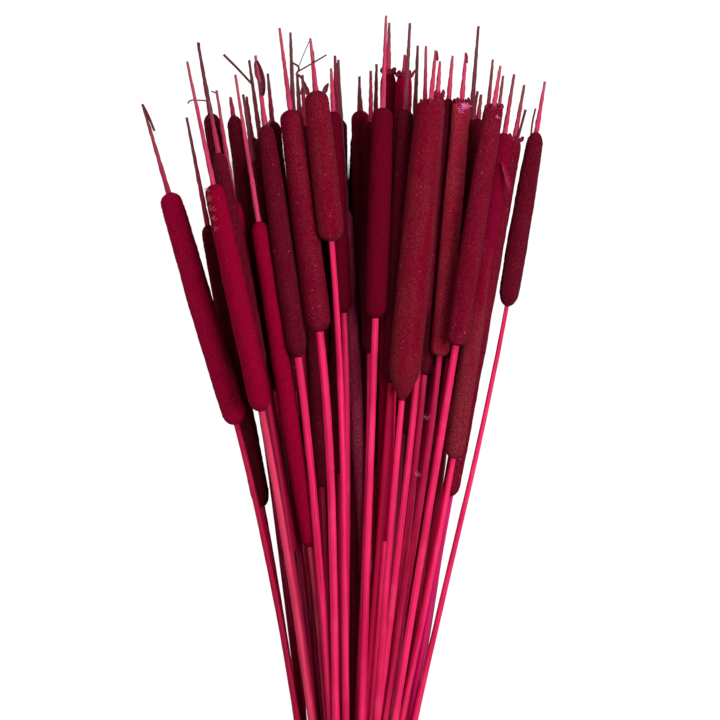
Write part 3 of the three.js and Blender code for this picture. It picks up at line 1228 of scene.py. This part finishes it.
@dataclass
class RubberBand:
    """The band round the stems, wound three times."""

    node: str
    wardrobe: Wardrobe
    turns: int = 3
    strand: float = 0.85 * MM
    wander: float = 0.35 * MM
    fill: float = 0.46

    def build(self) -> None:
        """Winds the band."""
        low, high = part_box(self.node)
        middle = (low + high) / 2
        outer = (high.z - low.z) / 2
        width = (high.y - low.y) / self.turns
        pieces = []
        for turn in range(self.turns):
            clear_selection()
            centre = Vector((middle.x, low.y + width * (turn + 0.5), middle.z))
            bpy.ops.mesh.primitive_torus_add(
                major_segments=96, minor_segments=12, major_radius=outer - self.strand * 1.05,
                minor_radius=self.strand, rotation=(math.pi / 2, 0, 0), location=centre)
            strand = bpy.context.object
            bpy.ops.object.transform_apply(location=True, rotation=True, scale=True)
            self._flatten(strand.data, centre, width, turn)
            pieces.append(strand)
        band = joined(pieces)
        band.name = "rubber_band_wound"
        bpy.ops.object.shade_smooth()
        band.data.materials.append(self.wardrobe.get(BandRubber()))
        hand_in(band, self.node)

    def _flatten(self, mesh: Mesh, centre: Vector, width: float, turn: int) -> None:
        """Makes a round strand flat, and lets it wander a little along the bunch.

        Args:
            mesh: the strand's mesh.
            centre: the middle of its ring.
            width: how much of the bunch each turn takes up.
            turn: which turn it is.
        """
        points = places(mesh)
        turned = np.arctan2(points[:, 2] - centre.z, points[:, 0] - centre.x)
        wander = self.wander * np.sin(2 * turned + 2.1 * turn)
        stretch = self.fill * width / self.strand
        points[:, 1] = centre.y + (points[:, 1] - centre.y) * stretch + wander
        move_points(mesh, points)


# ---- the studio


@dataclass
class Studio:
    """The table, the soft lights and the camera that looks straight down."""

    tie: Vector
    view_width: float = 540 * MM
    view_centre: tuple[float, float] = (6 * MM, 435 * MM)
    distance: float = 8.0
    table_size: float = 12.0
    room_light: float = 0.22

    def build(self, wardrobe: Wardrobe) -> None:
        """Sets the studio up."""
        centre = Vector((self.tie.x + self.view_centre[0], self.tie.y + self.view_centre[1], 0.0))
        self._camera(centre)
        self._table(centre, wardrobe)
        self._light("key", centre + Vector((0.75, 0.2, 1.5)), centre, size=0.9, power=34.0)
        self._light("fill", centre + Vector((-1.1, 0.5, 1.5)), centre, size=1.4, power=8.0)
        self._surroundings(self.room_light)
        bpy.context.scene.view_settings.view_transform = "Standard"

    def _camera(self, centre: Vector) -> None:
        """Hangs the camera over the bunch, with the tips at the top of the view."""
        data = bpy.data.cameras.new("camera")
        data.sensor_width = 36.0
        data.lens = data.sensor_width * self.distance / self.view_width
        data.clip_end = 50.0
        camera = placed("camera", data)
        camera.location = centre + Vector((0, 0, self.distance))
        bpy.context.scene.camera = camera

    def _table(self, centre: Vector, wardrobe: Wardrobe) -> None:
        """Lays the table under the bunch."""
        clear_selection()
        bpy.ops.mesh.primitive_plane_add(size=self.table_size, location=(centre.x, centre.y, 0))
        table = bpy.context.object
        table.name = "table"
        bpy.ops.object.transform_apply(location=True, rotation=True, scale=True)
        table.data.materials.append(wardrobe.get(LightTable((self.tie.x, self.tie.y))))

    @staticmethod
    def _light(name: str, place: Vector, aim: Vector, size: float, power: float) -> None:
        """Hangs a soft square light that points at the bunch."""
        data = bpy.data.lights.new(name, "AREA")
        data.size = size
        data.energy = power
        lamp = placed(name, data)
        lamp.location = place
        lamp.rotation_euler = (aim - place).to_track_quat("-Z", "Y").to_euler()

    @staticmethod
    def _surroundings(strength: float) -> None:
        """Fills the room with even white light."""
        world = bpy.data.worlds.new("room")
        world.use_nodes = True
        background = world.node_tree.nodes["Background"]
        background.inputs["Color"].default_value = (1.0, 1.0, 1.0, 1.0)
        background.inputs["Strength"].default_value = strength
        bpy.context.scene.world = world


# ---- putting it together


def main() -> None:
    """Builds the bunch, the band and the studio."""
    logging.basicConfig(level=logging.INFO, format="%(message)s")
    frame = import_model()
    wardrobe = Wardrobe()
    low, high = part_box("rubber_band")
    Studio((low + high) / 2).build(wardrobe)
    Bunch(frame["nodes"], wardrobe).build()
    RubberBand("rubber_band", wardrobe).build()


if __name__ == "__main__":
    main()
